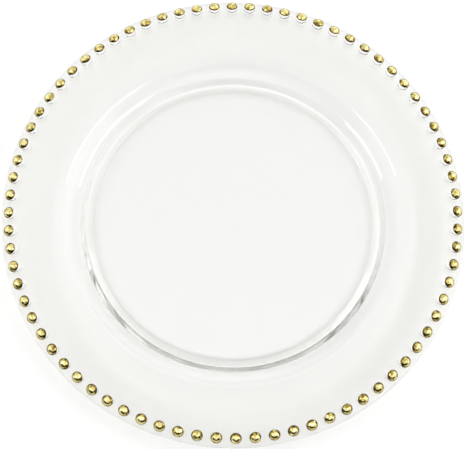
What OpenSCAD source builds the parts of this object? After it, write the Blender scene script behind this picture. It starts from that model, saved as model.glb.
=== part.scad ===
// Charger plate: one pressed glass plate with a flat well, a low wall, a wide rising rim
// and a ring of moulded beads on a level ledge, each bead capped with a film of gold.
// The plate stands on its foot ring at z = 0, with its centre on the Z axis.

/* [Plate] */
// Diameter over the rounded outer edge
plate_d = 330; // [320:1:350]
// Thickness of the glass in the floor of the well
floor_t = 5; // [4:0.1:6]
// Thickness of the glass in the rim and the ledge
rim_t = 4.4; // [4:0.1:5]

/* [Well wall] */
// Distance that the wall covers outwards
wall_run = 11.5; // [10.5:0.5:12.5]
// Height that the wall climbs above the floor
wall_rise = 7.2; // [6.5:0.1:8]
// Radius of the hollow corner between floor and wall
well_corner_r = 4; // [2:0.5:6]
// Radius of the round shoulder between wall and rim
shoulder_r = 24; // [12:1:30]
// Distance past the shoulder at which the underside of the rim bends down to the wall
under_reach = 8.9; // [7:0.1:10]
// Radius of that bend
under_bend_r = 25; // [10:5:30]

/* [Rim] */
// Distance that the rim covers outwards, from the shoulder to the ledge
rim_run = 35; // [32:0.5:40]
// Height that the rim climbs from the shoulder to the ledge
rim_rise = 12; // [9:0.5:13]
// Width of the level ledge that carries the beads
ledge_w = 17; // [15:0.5:19]
// Radius of the soft bend between rim and ledge
ledge_bend_r = 12; // [5:1:20]
// Radius that rounds the upper and the lower outer edge
edge_r = 1.9; // [1:0.1:1.9]

/* [Foot] */
// Distance from the edge of the floor out to the outer edge of the foot ring on the table
foot_reach = 7; // [6:0.1:7.5]
// Width of the face that the foot ring stands on
foot_w = 4.5; // [3:0.5:8]
// Height of the foot ring under the floor
foot_h = 0.6; // [0.4:0.1:1.2]
// Angle at which the outer flank of the foot ring climbs from the table
foot_slope = 53; // [48:1:60]
// Distance that the inner flank of the foot ring leans inwards
foot_lean = 3; // [1:0.5:5]
// Radius that rounds the edges of the foot ring
foot_edge_r = 1; // [0.3:0.1:1.2]

/* [Beads] */
// Number of beads round the ledge
bead_n = 76; // [60:1:84]
// Diameter of one glass bead
bead_d = 8.3; // [6:0.1:9]
// Distance from the outer edge in to the centres of the beads
bead_inset = 6.6; // [6:0.1:8]
// Depth that each bead is sunk in the ledge
bead_sink = 1; // [0.5:0.1:2]

/* [Gilding] */
// Thickness of the gold film on a bead
gold_t = 0.1; // [0.05:0.01:0.3]
// Angle from the middle of a gold cap to its edge
gold_spread = 70; // [45:1:80]
// Angle that the middle of a gold cap leans outwards from straight up
gold_lean = 27; // [0:1:35]

/* [Hidden] */

// Facets of the turned forms and of the beads
turn_fn = 180;
bead_fn = 48;
// Straight steps that follow each rounded corner of the section
corner_steps = 8;

// Heights and radii of the section
plate_r = plate_d / 2;
ledge_in_r = plate_r - ledge_w;
shoulder_in_r = ledge_in_r - rim_run;
well_r = shoulder_in_r - wall_run;
floor_z = foot_h + floor_t;
shoulder_z = floor_z + wall_rise;
ledge_z = shoulder_z + rim_rise;

// Places of the beads
bead_r = bead_d / 2;
bead_ring_r = plate_r - bead_inset;
bead_z = ledge_z + bead_r - bead_sink;

// Corners of the upper side, from the axis outwards
top_path = [
    [0, floor_z],
    [well_r, floor_z],
    [shoulder_in_r, shoulder_z],
    [ledge_in_r, ledge_z],
    [plate_r, ledge_z]
];

// Direction of the line from a to b, and the direction to its right
function along(a, b) = (b - a) / norm(b - a);
function right_of(d) = [d[1], -d[0]];

// Point where two lines meet, each given by a point and a direction
function meet(p, d, q, e) =
    let (turn = d[0] * e[1] - d[1] * e[0])
    p + d * ((q[0] - p[0]) * e[1] - (q[1] - p[1]) * e[0]) / turn;

// Directions of the wall and of the rim, and the point that lies square below the shoulder
wall_dir = along(top_path[1], top_path[2]);
rim_dir = along(top_path[2], top_path[3]);
under_rim = top_path[2] + rim_t * right_of(rim_dir);

// Corners of the underside: where the rim bends down to the wall, and below the ledge
under_shoulder = under_rim + under_reach * rim_dir;
under_ledge = meet(under_rim, rim_dir, [plate_r, ledge_z - rim_t], [1, 0]);

// Foot ring: its outer edge on the table, and the corner where its flank meets the wall
foot_out = [well_r + foot_reach, 0];
foot_in_r = foot_out[0] - foot_w;
foot_dir = [cos(foot_slope), sin(foot_slope)];
foot_top = meet(foot_out, foot_dir, under_shoulder, wall_dir);

// Outline of the section, each corner with the radius that rounds it
outline = [
    [top_path[0], 0],
    [top_path[1], well_corner_r],
    [top_path[2], shoulder_r],
    [top_path[3], ledge_bend_r],
    [top_path[4], edge_r],
    [[plate_r, ledge_z - rim_t], edge_r],
    [under_ledge, ledge_bend_r],
    [under_shoulder, under_bend_r],
    [foot_top, foot_edge_r],
    [foot_out, foot_edge_r],
    [[foot_in_r, 0], foot_edge_r],
    [[foot_in_r - foot_lean, foot_h], foot_edge_r],
    [[0, foot_h], 0]
];

// Points of an arc of radius r that rounds the corner b between a and c
function corner_arc(a, b, c, r) =
    let (
        u = along(b, a),
        v = along(b, c),
        half = acos(u * v) / 2,
        centre = b + (u + v) / norm(u + v) * r / sin(half),
        from = b + u * r / tan(half) - centre,
        turn = sign(u[0] * v[1] - u[1] * v[0]) * (2 * half - 180)
    )
    [for (i = [0 : corner_steps])
        let (t = turn * i / corner_steps)
        centre + [from[0] * cos(t) - from[1] * sin(t), from[0] * sin(t) + from[1] * cos(t)]];

// Outline with every corner that has a radius rounded
function rounded(corners) =
    let (n = len(corners))
    [for (i = [0 : n - 1])
        each corners[i][1] == 0
            ? [corners[i][0]]
            : corner_arc(
                corners[(i + n - 1) % n][0],
                corners[i][0],
                corners[(i + 1) % n][0],
                corners[i][1]
            )];

// Puts a copy of its child at the centre of every bead, turned to face outwards
module at_each_bead() {
    for (i = [0 : bead_n - 1])
        rotate([0, 0, 360 * i / bead_n - 90])
            translate([bead_ring_r, 0, bead_z])
                children();
}

// Pressed glass plate with its moulded beads
module glass_plate() {
    color("lightcyan", 0.4)
        union() {
            rotate_extrude($fn = turn_fn)
                polygon(rounded(outline));
            at_each_bead()
                sphere(d = bead_d, $fn = bead_fn);
        }
}

// Film of gold over one bead, cut off square to its middle line
module gold_cap() {
    cap_r = bead_r + gold_t;
    rotate([0, gold_lean, 0])
        intersection() {
            difference() {
                sphere(r = cap_r, $fn = bead_fn);
                sphere(r = bead_r, $fn = bead_fn);
            }
            translate([-bead_d, -bead_d, bead_r * cos(gold_spread)])
                cube([2 * bead_d, 2 * bead_d, bead_d]);
        }
}

// Gilding of all the beads
module gold_caps() {
    color("gold")
        at_each_bead()
            gold_cap();
}

glass_plate();
gold_caps();
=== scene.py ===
# %% [markdown]
# This script dresses a charger plate, the wide plate that stays on the table under a dinner plate.
# The real one is a single piece of clear pressed glass, with a ring of small beads moulded on its
# edge, and each bead wears a thin film of gold. The solid model gives the form and the sizes, and
# Blender adds what it can't hold: a finer surface, glass that bends and swallows light, gold that
# mirrors, and a studio to see them in. The solid model comes in first. Nothing that is made here
# may reach outside it.

import math

import bmesh
import bpy
from mathutils import Matrix, Vector


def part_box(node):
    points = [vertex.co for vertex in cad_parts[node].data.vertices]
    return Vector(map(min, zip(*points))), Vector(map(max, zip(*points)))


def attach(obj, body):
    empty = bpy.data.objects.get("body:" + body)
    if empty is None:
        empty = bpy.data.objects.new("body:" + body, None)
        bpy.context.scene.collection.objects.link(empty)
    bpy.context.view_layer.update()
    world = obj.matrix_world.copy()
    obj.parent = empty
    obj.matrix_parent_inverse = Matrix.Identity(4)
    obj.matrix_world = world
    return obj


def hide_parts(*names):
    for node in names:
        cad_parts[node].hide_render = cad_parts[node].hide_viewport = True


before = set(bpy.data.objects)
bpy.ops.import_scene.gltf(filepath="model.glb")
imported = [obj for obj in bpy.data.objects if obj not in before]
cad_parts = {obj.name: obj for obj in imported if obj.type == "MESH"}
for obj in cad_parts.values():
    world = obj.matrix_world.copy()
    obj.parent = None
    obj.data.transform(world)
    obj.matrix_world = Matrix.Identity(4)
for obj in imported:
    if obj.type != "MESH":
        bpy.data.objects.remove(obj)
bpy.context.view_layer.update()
scene = bpy.context.scene

# %% [markdown]
# The sizes of the plate are written in millimetres, as a glassmaker would, and turned into metres
# where Blender takes them. The outer radius is read from the solid model. The rest are the sizes
# that the solid model was drawn from, so the finer surface lies where the solid one does.

# %% Sizes of the plate
MM = 0.001
plate_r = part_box("glass_plate")[1].x / MM
well_r = 101.5
floor_t = 5.0
rim_t = 4.4
wall_run, wall_rise = 11.5, 7.2
rim_rise = 12.0
ledge_w = 17.0
foot_h = 0.6

floor_z = foot_h + floor_t
shoulder_z = floor_z + wall_rise
ledge_z = shoulder_z + rim_rise
print(f"radius {plate_r:.1f}, floor {floor_z:.1f}, shoulder {shoulder_z:.1f}, ledge {ledge_z:.1f} mm")

# %% [markdown]
# Turned glass is drawn as half a section: a path that starts on the axis, runs out along the upper
# side, round the edge, and back along the underside to the axis. Its corners are found first, and
# each gets a radius that rounds it. Corners and radii are easier to read and to change than the
# many points of the finished curve.

# %% Corners of the upper side
well_corner_r = 4.0
shoulder_r = 24.0
ledge_bend_r = 12.0
edge_r = 1.9

floor_edge = Vector((well_r, floor_z))
shoulder = Vector((well_r + wall_run, shoulder_z))
ledge_start = Vector((plate_r - ledge_w, ledge_z))
wall_dir = (shoulder - floor_edge).normalized()
rim_dir = (ledge_start - shoulder).normalized()
print(f"wall climbs at {math.degrees(math.atan2(wall_dir.y, wall_dir.x)):.0f} degrees")
print(f"rim climbs at {math.degrees(math.atan2(rim_dir.y, rim_dir.x)):.0f} degrees")

# %% [markdown]
# The underside follows the rim at the thickness of the glass. Further in it bends down to the wall
# and ends in the foot ring, the only part that touches the table. The slanted flank of that foot
# shows through the glass as a grey arc at the front of the well, so its place matters more than
# its size suggests. Each corner of the underside is where two of its straight stretches meet.

# %% Corners of the underside
under_reach = 8.9
under_bend_r = 25.0
foot_reach = 7.0
foot_w = 4.5
foot_lean = 3.0
foot_edge_r = 1.0
foot_slope = math.radians(53)

foot_out = Vector((well_r + foot_reach, 0))
foot_in = Vector((foot_out.x - foot_w, 0))
foot_dir = Vector((math.cos(foot_slope), math.sin(foot_slope)))


def meeting_point(p, along_p, q, along_q):
    """Where the line through p and the line through q meet."""
    return p + along_p * (q - p).cross(along_q) / along_p.cross(along_q)


under_rim = shoulder + rim_t * Vector((rim_dir.y, -rim_dir.x))
under_shoulder = under_rim + under_reach * rim_dir
under_edge = Vector((plate_r, ledge_z - rim_t))
under_ledge = meeting_point(under_rim, rim_dir, under_edge, Vector((1, 0)))
foot_top = meeting_point(foot_out, foot_dir, under_shoulder, wall_dir)
print("foot flank from", foot_out.to_tuple(1), "to", foot_top.to_tuple(1))

# %% [markdown]
# Every corner of pressed glass is rounded, because the mould is, and because glass that is polished
# by fire softens. An arc replaces each corner, with one short step for each few degrees that it
# turns. Light that passes through glass shows each facet, so the steps are small.

# %% Round a corner
STEP_ANGLE = math.radians(5)
LEAST_STEPS = 4


def corner_arc(before, corner, after, radius):
    """Points of the arc that rounds a corner between the points before and after it."""
    back = (before - corner).normalized()
    ahead = (after - corner).normalized()
    half = back.angle(ahead) / 2
    centre = corner + (back + ahead).normalized() * radius / math.sin(half)
    start = corner + back * radius / math.tan(half) - centre
    sweep = math.copysign(math.pi - 2 * half, -back.cross(ahead))
    steps = max(LEAST_STEPS, round(abs(sweep) / STEP_ANGLE))
    turns = (Matrix.Rotation(sweep * i / steps, 2) for i in range(steps + 1))
    return [centre + turn @ start for turn in turns]


square_corner = corner_arc(Vector((1, 0)), Vector((0, 0)), Vector((0, 1)), 0.5)
print("a square corner takes", len(square_corner), "points")

# %% [markdown]
# Smooth shading blends the direction of a surface from one point to the next. On a long flat
# stretch that ends in an arc this would bend the light over the whole stretch, as a lens does. A
# guard point close to the arc keeps the blend short, and the floor of the well stays flat. The two
# ends on the axis need no guard, because no arc is there.

# %% The section of the plate
GUARD = 0.5
LONG_STRETCH = 3 * GUARD

corners = [
    (Vector((0, floor_z)), 0),
    (floor_edge, well_corner_r),
    (shoulder, shoulder_r),
    (ledge_start, ledge_bend_r),
    (Vector((plate_r, ledge_z)), edge_r),
    (under_edge, edge_r),
    (under_ledge, ledge_bend_r),
    (under_shoulder, under_bend_r),
    (foot_top, foot_edge_r),
    (foot_out, foot_edge_r),
    (foot_in, foot_edge_r),
    (foot_in + Vector((-foot_lean, foot_h)), foot_edge_r),
    (Vector((0, foot_h)), 0),
]


def rounded_section(corners):
    """The path through all the corners, with an arc at each and guard points on long stretches."""
    path = [corners[0][0]]
    for (before, _), (corner, radius), (after, _) in zip(corners, corners[1:], corners[2:]):
        arc = corner_arc(before, corner, after, radius)
        stretch = arc[0] - path[-1]
        if stretch.length > LONG_STRETCH:
            guard = stretch.normalized() * GUARD
            if path[-1].x > 0:
                path.append(path[-1] + guard)
            path.append(arc[0] - guard)
        path.extend(arc)
    end = corners[-1][0]
    path.append(path[-1] + (end - path[-1]).normalized() * GUARD)
    path.append(end)
    return path


plate_section = rounded_section(corners)
print("the section has", len(plate_section), "points")

# %% [markdown]
# Node trees are written in the script. One small class stands for a socket, so that sums on
# sockets can be written as sums in Python. A second class makes nodes, all in the same way: first
# their settings, then what their sockets get. Both serve geometry and materials alike.

# %% Helpers that write node trees


class Field:
    """A socket of a node tree that takes part in sums."""

    def __init__(self, tree, socket):
        self.tree = tree
        self.socket = socket

    def __add__(self, other):
        return self.tree.maths("ADD", self, other)

    __radd__ = __add__

    def __sub__(self, other):
        return self.tree.maths("SUBTRACT", self, other)

    def __rsub__(self, other):
        return self.tree.maths("SUBTRACT", other, self)

    def __mul__(self, other):
        return self.tree.maths("MULTIPLY", self, other)

    __rmul__ = __mul__

    def __truediv__(self, other):
        return self.tree.maths("DIVIDE", self, other)

    def __rtruediv__(self, other):
        return self.tree.maths("DIVIDE", other, self)


class Tree:
    """Adds nodes to one node tree."""

    def __init__(self, tree):
        self.tree = tree

    def feed(self, socket, value):
        """Links a socket, or sets its value."""
        if isinstance(value, Field):
            self.tree.links.new(value.socket, socket)
        else:
            socket.default_value = value

    def node(self, kind, settings=None, feeds=None, out=0):
        """Makes a node and gives back the output named by out, or several of them."""
        node = self.tree.nodes.new(kind)
        for name, value in (settings or {}).items():
            if name == "stops":
                set_stops(node.color_ramp, value)
            else:
                setattr(node, name, value)
        for name, value in (feeds or {}).items():
            self.feed(node.inputs[name], value)
        if isinstance(out, tuple):
            return [Field(self, node.outputs[name]) for name in out]
        return Field(self, node.outputs[out])

    def maths(self, operation, *values):
        """Makes a Math node."""
        return self.node("ShaderNodeMath", {"operation": operation}, dict(enumerate(values)))


def set_stops(ramp, stops):
    """Gives a colour ramp its stops, each a place from 0 to 1 and a colour."""
    while len(ramp.elements) < len(stops):
        ramp.elements.new(1)
    for element, (place, colour) in zip(ramp.elements, stops):
        element.position = place
        element.color = (*colour, 1)


print("helpers: Field for sums, Tree for nodes")

# %% [markdown]
# A geometry tree needs named inputs, so that one tree can make several pieces. The modifier that
# carries it is set by the identifier of each input, before the object is first evaluated. Then the
# result becomes a plain mesh, and the modifier goes.

# %% Helpers that run a geometry tree
KINDS = {"count": "NodeSocketInt", "size": "NodeSocketFloat", "finish": "NodeSocketMaterial"}


def geometry_tree(name, inputs):
    """A new geometry tree with a mesh going in and out, and its group input node."""
    group = bpy.data.node_groups.new(name, "GeometryNodeTree")
    group.interface.new_socket("Mesh", in_out="INPUT", socket_type="NodeSocketGeometry")
    for label, kind in inputs.items():
        group.interface.new_socket(label, in_out="INPUT", socket_type=KINDS[kind])
    group.interface.new_socket("Mesh", in_out="OUTPUT", socket_type="NodeSocketGeometry")
    tree = Tree(group)
    return tree, tree.node("NodeGroupInput", out=("Mesh", *inputs))


def finish_tree(tree, mesh, material):
    """Ends a geometry tree with real geometry that wears one material."""
    real = tree.node("GeometryNodeRealizeInstances", {}, {"Geometry": mesh})
    worn = tree.node("GeometryNodeSetMaterial", {}, {"Geometry": real, "Material": material})
    output = tree.tree.nodes.new("NodeGroupOutput")
    tree.feed(output.inputs["Mesh"], worn)


def run_tree(tree, obj, values):
    """Puts an object through a geometry tree and keeps the result as its plain mesh."""
    modifier = obj.modifiers.new(tree.tree.name, "NODES")
    modifier.node_group = tree.tree
    for item in tree.tree.interface.items_tree:
        if item.in_out == "INPUT" and item.name in values:
            modifier[item.identifier] = values[item.name]
    bake_modifiers(obj)


def bake_modifiers(obj):
    """Replaces an object's mesh by what its modifiers make of it."""
    ready = obj.evaluated_get(bpy.context.evaluated_depsgraph_get())
    mesh = bpy.data.meshes.new_from_object(ready)
    obj.modifiers.clear()
    obj.data = mesh
    mesh.name = obj.name


print("inputs can be:", ", ".join(KINDS))

# %% [markdown]
# Plate, bead and gold cap are all turned forms. A lathe could be built with Spin, or with a curve
# swept round a circle. Here a grid is bent instead: each column of the grid takes the points of
# the section and turns them by its share of a full circle. The points then lie exactly where the
# section says. Merging by distance closes the seam and the two poles. The half that is added to
# the index keeps a rounding error from moving a point into the wrong column.

# %% A tree that turns a section
HALF = 0.5
SEAM = 0.005 * MM

lathe, (section, segments, finish) = geometry_tree(
    "Turned form", {"Segments": "count", "Finish": "finish"}
)
rows = lathe.node(
    "GeometryNodeAttributeDomainSize", {"component": "MESH"}, {"Geometry": section}, "Point Count"
)
grid = lathe.node("GeometryNodeMeshGrid", {}, {"Vertices X": segments + 1, "Vertices Y": rows})
index = lathe.node("GeometryNodeInputIndex")
row = lathe.maths("MODULO", index, rows)
column = lathe.maths("FLOOR", (index + HALF) / rows)
corner = lathe.node(
    "GeometryNodeSampleIndex",
    {"data_type": "FLOAT_VECTOR", "domain": "POINT"},
    {"Geometry": section, "Value": lathe.node("GeometryNodeInputPosition"), "Index": row},
)
turned = lathe.node(
    "ShaderNodeVectorRotate",
    {"rotation_type": "Z_AXIS"},
    {"Vector": corner, "Angle": column * math.tau / segments},
)
bent = lathe.node("GeometryNodeSetPosition", {}, {"Geometry": grid, "Position": turned})
closed = lathe.node("GeometryNodeMergeByDistance", {}, {"Geometry": bent, "Distance": SEAM})
smooth = lathe.node("GeometryNodeSetShadeSmooth", {}, {"Geometry": closed})
finish_tree(lathe, smooth, finish)
print("lathe has", len(lathe.tree.nodes), "nodes")

# %% [markdown]
# The section enters the lathe as loose points in the XZ plane. After turning, the faces may point
# inwards, because that depends on the way the path runs. The normals are worked out again on the
# closed shape, which also tells whether it is closed.

# %% Turn a form
PLATE_SEGMENTS = 256


def turn(name, path, segments, material):
    """A closed turned form, made from a path of (radius, height) points in millimetres."""
    mesh = bpy.data.meshes.new(name)
    mesh.from_pydata([(p.x * MM, 0, p.y * MM) for p in path], [], [])
    form = bpy.data.objects.new(name, mesh)
    scene.collection.objects.link(form)
    run_tree(lathe, form, {"Segments": segments, "Finish": material})
    face_outwards(form)
    return form


def face_outwards(form):
    """Turns all faces outwards and says whether the form is closed."""
    shape = bmesh.new()
    shape.from_mesh(form.data)
    bmesh.ops.recalc_face_normals(shape, faces=shape.faces)
    open_edges = sum(not edge.is_manifold for edge in shape.edges)
    shape.to_mesh(form.data)
    shape.free()
    print(f"{form.name}: {len(form.data.polygons)} faces, {open_edges} open edges")


glass = bpy.data.materials.new("Clear glass")
glass_plate = turn("glass_plate_fine", plate_section, PLATE_SEGMENTS, glass)

# %% [markdown]
# The beads stand in a ring on the level ledge. They are equal and equally spaced, which is just
# what Geometry Nodes are good at: a circle gives one point for each bead, and a copy of the bead
# lands on each point, turned so that its outer side faces away from the plate. A last quarter turn
# brings the first bead to the front, where the solid model has it. The same tree later sets the
# gold caps, so caps and beads can't drift apart.

# %% A tree that sets copies round the ledge
ring, (copy, count, ring_radius, height, finish) = geometry_tree(
    "Ring of beads",
    {"Count": "count", "Ring radius": "size", "Height": "size", "Finish": "finish"},
)
circle = ring.node("GeometryNodeMeshCircle", {}, {"Vertices": count, "Radius": ring_radius})
place = ring.node("ShaderNodeCombineXYZ", {}, {"Z": height})
facing = ring.node(
    "ShaderNodeCombineXYZ", {}, {"Z": ring.node("GeometryNodeInputIndex") * math.tau / count}
)
raised = ring.node("GeometryNodeTransform", {}, {"Geometry": circle, "Translation": place})
copies = ring.node(
    "GeometryNodeInstanceOnPoints", {}, {"Points": raised, "Instance": copy, "Rotation": facing}
)
quarter = ring.node(
    "GeometryNodeTransform", {}, {"Geometry": copies, "Rotation": (0, 0, -math.pi / 2)}
)
finish_tree(ring, quarter, finish)
print("ring has", len(ring.tree.nodes), "nodes")

# %% [markdown]
# A bead is a ball, sunk a little into the ledge. It is turned from half a circle, with points
# close enough together that its outline stays round in a close view.

# %% The glass beads
bead_count = 76
bead_r = 4.15
bead_sink = 1.0
bead_inset = 6.6
BEAD_SEGMENTS, BEAD_STEPS = 32, 20

bead_ring_r = plate_r - bead_inset
bead_z = ledge_z + bead_r - bead_sink


def arc_path(radius, start, end, steps):
    """Points of an arc about the origin, with angles measured from the axis."""
    angles = [start + (end - start) * i / steps for i in range(steps + 1)]
    return [radius * Vector((math.sin(a), math.cos(a))) for a in angles]


def set_round_ledge(obj, material):
    """Repeats an object that is made about the origin on every bead's place."""
    places = {"Count": bead_count, "Ring radius": bead_ring_r * MM, "Height": bead_z * MM}
    run_tree(ring, obj, {**places, "Finish": material})


beads = turn("beads", arc_path(bead_r, 0, math.pi, BEAD_STEPS), BEAD_SEGMENTS, glass)
set_round_ledge(beads, glass)
print(f"{bead_count} beads, {math.tau * bead_ring_r / bead_count:.1f} mm from middle to middle")

# %% [markdown]
# Beads and plate are one piece of glass. If they only overlapped, light would meet hidden walls
# inside, and every bead would show a false disc. A boolean union removes what lies inside. The
# crease round each bead is then marked sharp, so that smooth shading doesn't smear it.

# %% One piece of glass
CREASE = math.radians(35)

join = glass_plate.modifiers.new("One piece", "BOOLEAN")
join.operation = "UNION"
join.solver = "MANIFOLD"
join.object = beads
bake_modifiers(glass_plate)
bpy.data.objects.remove(beads)
glass_plate.data.set_sharp_from_angle(angle=CREASE)
face_outwards(glass_plate)

# %% [markdown]
# The gold is a film that was painted on the top and the outer side of each bead and fired. It is
# modelled as a thin cap: out along the bead's outside, over its lip, and back just under the
# surface of the glass. The inner face is sunk in the glass so that the two surfaces never lie on
# top of each other. Each point also stores how far it is from the middle of the cap, from 0 to 1,
# because the film gets rougher and browner towards its edge, and painted shade darkens it there too.

# %% The gold caps
film_rise = 0.08
film_sink = 0.05
film_spread = math.radians(70)
film_lean = math.radians(27)
CAP_SEGMENTS, OUTER_STEPS, INNER_STEPS = 28, 12, 8
UP = Vector((0, 0, 1))

film_path = arc_path(bead_r + film_rise, 0, film_spread, OUTER_STEPS)
film_path += arc_path(bead_r - film_sink, film_spread, 0, INNER_STEPS)
gold = bpy.data.materials.new("Gold film")
gold_caps = turn("gold_caps_fine", film_path, CAP_SEGMENTS, gold)

film_reach = gold_caps.data.attributes.new("film_reach", "FLOAT", "POINT")
for vertex, value in zip(gold_caps.data.vertices, film_reach.data):
    value.value = vertex.co.angle(UP) / film_spread
gold_caps.data.transform(Matrix.Rotation(film_lean, 4, "Y"))
set_round_ledge(gold_caps, gold)
print("gold caps:", len(gold_caps.data.polygons), "faces")

# %% [markdown]
# Clear glass is a shader with full transmission. Three things keep it from looking like plastic.
# Its skin takes a few parts in a hundred of the light that crosses it, which the base colour does,
# so the plate stands out from the white sheet. The glass inside swallows more of red and blue than
# of green, and an absorbing volume makes long ways through it darker: that draws the dark arc at
# the front. And pressed glass is never quite even. Its fire-polished skin has a faint ripple a few
# centimetres long, with a finer one on top, which a bump makes. A noise of scale 28 has 28 waves
# to the metre.

# %% Finish of the glass
ABSORPTION = 3.0
GLASS_TINT = (0.1, 0.14, 0.06, 1)
LONG_WAVES, FINE_WAVES, FINE_SHARE = 28.0, 130.0, 0.1


def principled(material):
    """A material's node tree and its main shader."""
    material.use_nodes = True
    return Tree(material.node_tree), material.node_tree.nodes["Principled BSDF"]


def noise(nodes, spot, scale, detail):
    """A noise in space, with as many waves to the metre as its scale says."""
    return nodes.node("ShaderNodeTexNoise", {}, {"Vector": spot, "Scale": scale, "Detail": detail})


nodes, shader = principled(glass)
settings = {
    "Base Color": (0.92, 0.92, 0.913, 1),
    "Roughness": 0.0,
    "IOR": 1.5,
    "Transmission Weight": 1.0,
}
for name, value in settings.items():
    nodes.feed(shader.inputs[name], value)

spot = nodes.node("ShaderNodeTexCoord", out="Object")
long_ripple = noise(nodes, spot, LONG_WAVES, 1.0)
fine_ripple = noise(nodes, spot, FINE_WAVES, 1.0)
ripple = long_ripple + FINE_SHARE * fine_ripple
skin = nodes.node("ShaderNodeBump", {}, {"Strength": 0.1, "Distance": 0.04 * MM, "Height": ripple})
nodes.feed(shader.inputs["Normal"], skin)

depth = nodes.node("ShaderNodeVolumeAbsorption", {}, {"Color": GLASS_TINT, "Density": ABSORPTION})
nodes.feed(glass.node_tree.nodes["Material Output"].inputs["Volume"], depth)
for colour, share in zip(("red", "green", "blue"), GLASS_TINT):
    left = math.exp(-ABSORPTION * (1 - share) * 100 * MM)
    print(f"100 mm of the glass lets {left:.0%} of the {colour} light through")

# %% [markdown]
# Gold is a metal, so its colour is the colour of its reflections. The film is pale in the middle of
# the cap and gets browner and rougher towards its edge. The browner edge is in part the real film,
# left thin by the brush, and in part painted shade: the ramp runs down to near black there, in place
# of the dark ring that reflections draw round each cap. A ramp gives the colours. It reads the
# square of the stored reach, so that the change comes late, and a noise of two or three millimetres,
# so that no two of the 76 caps are alike. A finer noise feeds a bump, which breaks up the reflections
# as on a film that was laid by hand. A dark edge tint keeps the outline of each cap brown, where
# plain metal would turn white.

# %% Finish of the gold
CLOUD_WAVES, GRAIN_WAVES = 420.0, 650.0
CLOUD_SHARE, GRAIN_SHARE, TONE_SHIFT = 2.4, 0.3, -1.2
POLISH, GRAIN_DULLS, REACH_DULLS = 0.03, 0.08, 0.1

nodes, shader = principled(gold)
reach = nodes.node("ShaderNodeAttribute", {"attribute_name": "film_reach"}, out="Fac")
spot = nodes.node("ShaderNodeTexCoord", out="Object")
cloud = noise(nodes, spot, CLOUD_WAVES, 2.0)
grain = noise(nodes, spot, GRAIN_WAVES, 2.0)
# Painted shade: the square of the reach darkens the film towards the cap's outline, in part as the
# real thin film and in part as the dark ring that reflections draw.
edge = reach * reach
film_tone_and_painted_shade = nodes.node(
    "ShaderNodeValToRGB",
    {
        "stops": [
            (0.0, (0.86, 0.80, 0.42)),
            (0.4, (0.62, 0.54, 0.21)),
            (0.7, (0.38, 0.285, 0.075)),
            (1.0, (0.09, 0.052, 0.008)),
        ]
    },
    {"Fac": edge + CLOUD_SHARE * cloud + GRAIN_SHARE * grain + TONE_SHIFT},
)
nodes.feed(shader.inputs["Base Color"], film_tone_and_painted_shade)
nodes.feed(shader.inputs["Metallic"], 1.0)
nodes.feed(shader.inputs["Specular Tint"], (0.3, 0.2, 0.06, 1))
nodes.feed(shader.inputs["Roughness"], POLISH + GRAIN_DULLS * grain + REACH_DULLS * reach)
wavy = nodes.node("ShaderNodeBump", {}, {"Strength": 0.4, "Distance": 0.7 * MM, "Height": grain})
nodes.feed(shader.inputs["Normal"], wavy)
print("gold film reaches", round(math.degrees(film_spread)), "degrees from the middle of its cap")

# %% [markdown]
# The plate stands on a pale, matt sheet. Light has to find its way through the glass to the sheet
# and back, so the sheet is a real surface and not a colour behind the plate.

# %% The floor
FLOOR_GAP = 0.3 * MM
FLOOR_SIZE = 12

bpy.ops.mesh.primitive_plane_add(size=FLOOR_SIZE, location=(0, 0, -FLOOR_GAP))
floor = bpy.context.object
floor.name = "studio_floor"
paper = bpy.data.materials.new("Matt white sheet")
nodes, shader = principled(paper)
nodes.feed(shader.inputs["Base Color"], (0.9, 0.9, 0.895, 1))
nodes.feed(shader.inputs["Roughness"], 0.9)
nodes.feed(shader.inputs["Specular IOR Level"], 0.0)
floor.data.materials.append(paper)
print("floor is", round(floor.dimensions.x), "m wide")

# %% [markdown]
# Glass and gold show little of themselves and much of the room, so the room is designed as
# carefully as the plate. It is a white tent, a little brighter on the right. The side where the
# photographer stands is black up to half its height, which draws the dark arc in the front of the
# glass and the brown shadow in each gold cap. Above a low bright band the far side is half as bright
# as the walls, and the roof is a little less bright than they are. The room is a world background
# whose strength depends on the direction. Each part of it fades into the next between two angles.

# %% The room
TENT, FRONT, BACK, TOP = 1.6, 0.02, 0.8, 1.18
SLANT = 0.2
FRONT_SIDES, FRONT_ROOF = (58, 76), (34, 48)
BACK_SIDES, BACK_FLOOR = (125, 145), (18, 28)
TOP_FLOOR = (38, 50)

world = bpy.data.worlds.new("White tent")
world.use_nodes = True
scene.world = world
room = Tree(world.node_tree)
direction = room.node("ShaderNodeTexCoord", out="Generated")
x, y, z = room.node("ShaderNodeSeparateXYZ", {}, {"Vector": direction}, ("X", "Y", "Z"))


def fade(value, start, end):
    """Rises smoothly from 0 to 1 between two angles, given in degrees."""
    limits = {"From Min": math.radians(start), "From Max": math.radians(end)}
    return room.node(
        "ShaderNodeMapRange", {"interpolation_type": "SMOOTHSTEP"}, {"Value": value, **limits}
    )


side_angle = room.maths("ABSOLUTE", room.maths("ARCTAN2", x, 0 - y))
elevation = room.maths("ARCSINE", z)
front = (1 - fade(side_angle, *FRONT_SIDES)) * (1 - fade(elevation, *FRONT_ROOF))
back = fade(side_angle, *BACK_SIDES) * fade(elevation, *BACK_FLOOR)
top = fade(elevation, *TOP_FLOOR)
level = TENT + back * (BACK - TENT)
level = level + top * (TOP - level)
level = (level + front * (FRONT - level)) * (1 + SLANT * x)
backdrop = world.node_tree.nodes["Background"]
room.feed(backdrop.inputs["Color"], (1, 1, 1, 1))
room.feed(backdrop.inputs["Strength"], level)
print("tent", TENT, "front", FRONT, "back", BACK, "top", TOP)

# %% [markdown]
# Two narrow soft boxes hang high on the right and on the left. Each one shows up on the far side
# of the well, as a pair of bright streaks where the glass bends from the wall into the rim. Their
# height matters: much lower and the whole wall would flash, much higher and the rim would.

# %% The soft boxes


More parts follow.
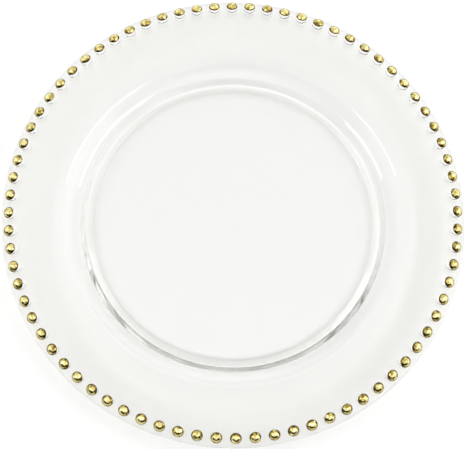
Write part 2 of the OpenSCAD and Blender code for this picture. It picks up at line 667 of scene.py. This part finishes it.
def soft_box(name, azimuth, height, distance, size, watts):
    """A rectangular light that faces the plate from an azimuth and an elevation in degrees."""
    lamp = bpy.data.lights.new(name, "AREA")
    lamp.shape = "RECTANGLE"
    lamp.size, lamp.size_y = size
    lamp.energy = watts
    box = bpy.data.objects.new(name, lamp)
    scene.collection.objects.link(box)
    around, up = math.radians(azimuth), math.radians(height)
    flat = math.cos(up)
    outward = Vector((math.cos(around) * flat, math.sin(around) * flat, math.sin(up)))
    box.location = outward * distance
    box.rotation_euler = outward.to_track_quat("Z", "Y").to_euler()
    print(f"{name} at", [round(c, 2) for c in box.location])


soft_box("Soft box right", azimuth=-8, height=56, distance=1.6, size=(0.95, 0.3), watts=3.4)
soft_box("Soft box left", azimuth=192, height=52, distance=1.6, size=(0.6, 0.3), watts=2.2)

# %% [markdown]
# The camera looks down steeply from the front, as in the photograph. Its place is given as a
# photographer would: what it aims at, how high and from which side it looks, how far away it is,
# and how much the picture leans. The lens follows from the size of the plate in the picture.

# %% The camera
aim = Vector((0.1, -8.95, bead_z)) * MM
side, lift, lean = (math.radians(angle) for angle in (0.5, 74.2, 3.9))
away = 0.874
sensor, lens = 36, 95.4

camera = bpy.data.objects.new("Camera", bpy.data.cameras.new("Camera"))
scene.collection.objects.link(camera)
camera.data.sensor_width = sensor
camera.data.lens = lens
pose = Matrix.Rotation(side, 4, "Z") @ Matrix.Rotation(math.pi / 2 - lift, 4, "X")
camera.matrix_world = (
    Matrix.Translation(aim) @ pose @ Matrix.Rotation(lean, 4, "Z") @ Matrix.Translation((0, 0, away))
)
scene.camera = camera
print("camera", [round(c, 3) for c in camera.matrix_world.translation])

# %% [markdown]
# Light that enters the rim travels far inside the plate before it leaves, and a renderer that
# gives up early paints those places black. So paths may be long here. Nothing is blurred to save
# time, because the bright lines in the glass would go with the noise. A plain view transform
# keeps the white of the sheet white.

# %% How light is followed
GLASS_BOUNCES, SHEET_BOUNCES = 64, 8

cycles = scene.cycles
cycles.max_bounces = GLASS_BOUNCES
cycles.transmission_bounces = GLASS_BOUNCES
cycles.glossy_bounces = GLASS_BOUNCES
cycles.diffuse_bounces = SHEET_BOUNCES
cycles.blur_glossy = 0
scene.view_settings.view_transform = "Standard"
print("paths of up to", cycles.max_bounces, "bounces")

# %% [markdown]
# At the end each fine piece takes the place of its solid and rides on the one body of the plate.

# %% Hand over
for piece, node, finish_slot in (
    (glass_plate, "glass_plate", "clear_glass"),
    (gold_caps, "gold_caps", "gold"),
):
    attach(piece, "root")
    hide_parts(node)
